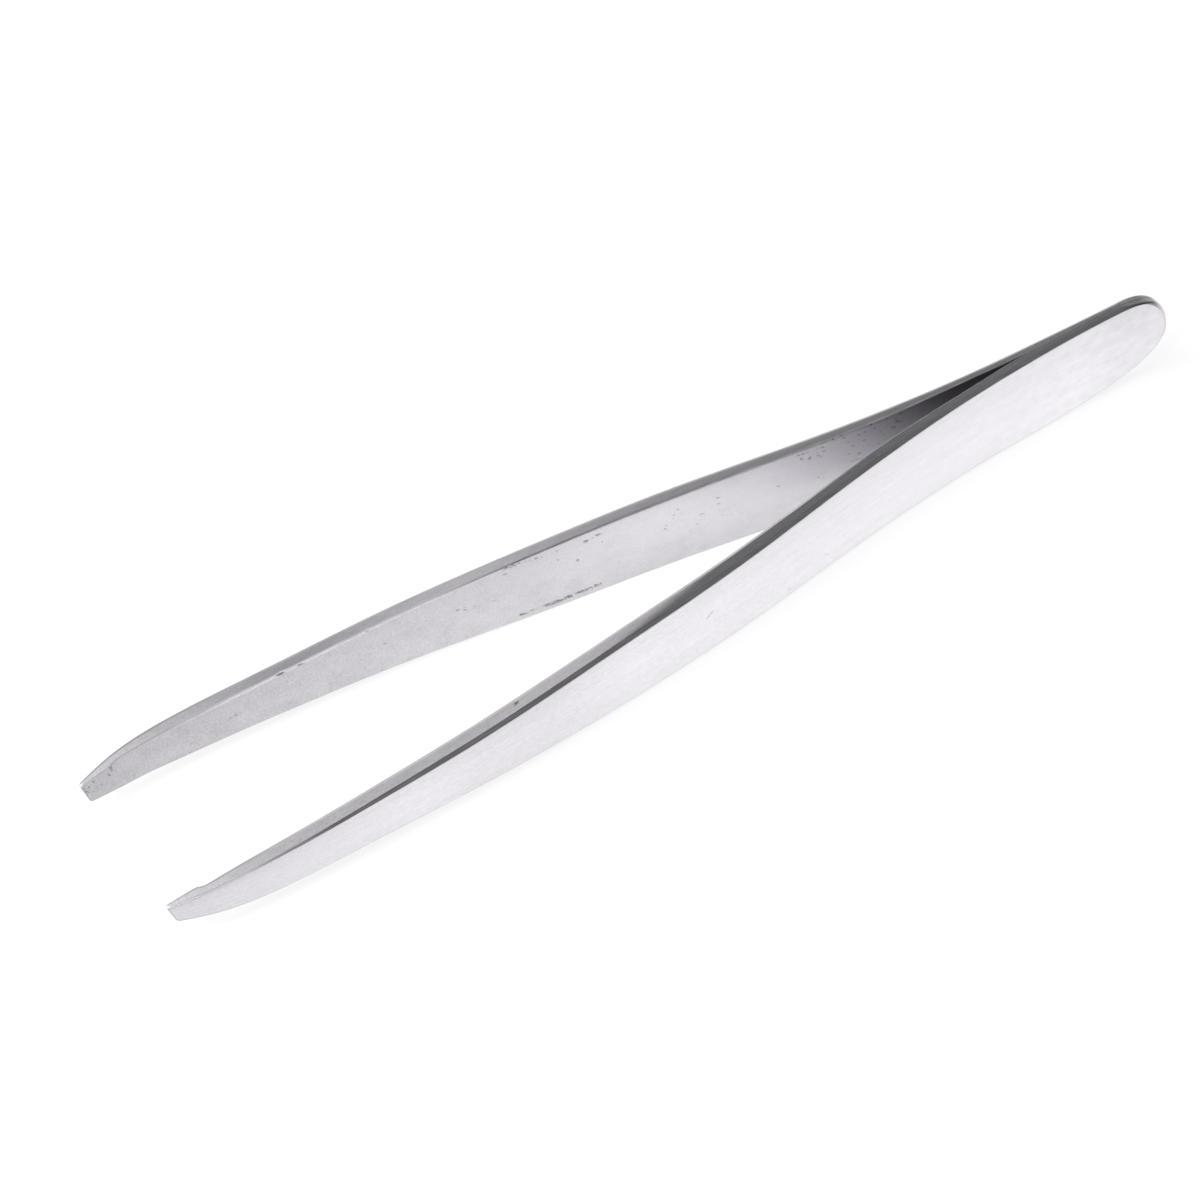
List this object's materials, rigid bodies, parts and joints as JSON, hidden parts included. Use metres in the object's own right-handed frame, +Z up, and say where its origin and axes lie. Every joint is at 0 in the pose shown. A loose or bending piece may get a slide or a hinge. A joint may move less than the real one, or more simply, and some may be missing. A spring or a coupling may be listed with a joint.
{
  "type": "slant tweezers",
  "caption": "Slim sprung steel tweezers with inward-bent slanted gripping tips, bowed arms and a flat rounded heel.",
  "frame": {"origin": "bottom centre of the bounding box, with the tweezers lying on their lower edges", "axes": "+X along the tweezers from the tips towards the heel, +Y across the opening towards the back arm, +Z up"},
  "size_m": [0.095, 0.018, 0.0083],
  "materials": {
    "arm_steel": "lengthwise satin-brushed outer faces, bead-blasted matte inner faces",
    "heel_steel": "lengthwise satin-brushed outer faces, polished narrow edges",
    "weld_metal": "dull resistance-weld metal, hidden between the heel leaves"
  },
  "bodies": {
    "heel": {"heel_front": "heel_steel", "heel_back": "heel_steel", "spot_weld_fore": "weld_metal", "spot_weld_aft": "weld_metal"},
    "arm_front": {"arm_front": "arm_steel"},
    "arm_back": {"arm_back": "arm_steel"}
  },
  "joints": [
    {"name": "arm_front_flex", "type": "hinge", "parent": "heel", "child": "arm_front", "pos_m": [0.0225, -0.00152, 0], "axis": [0, 0, -1], "range_deg": [0, 5.9], "stiffness_Nm_per_rad": 1.3},
    {"name": "arm_back_flex", "type": "hinge", "parent": "heel", "child": "arm_back", "pos_m": [0.0225, 0.00152, 0], "axis": [0, 0, 1], "range_deg": [0, 5.9], "stiffness_Nm_per_rad": 1.3}
  ],
  "couplings": [
    {"joint": "arm_back_flex", "follows": "arm_front_flex", "ratio": 1}
  ]
}
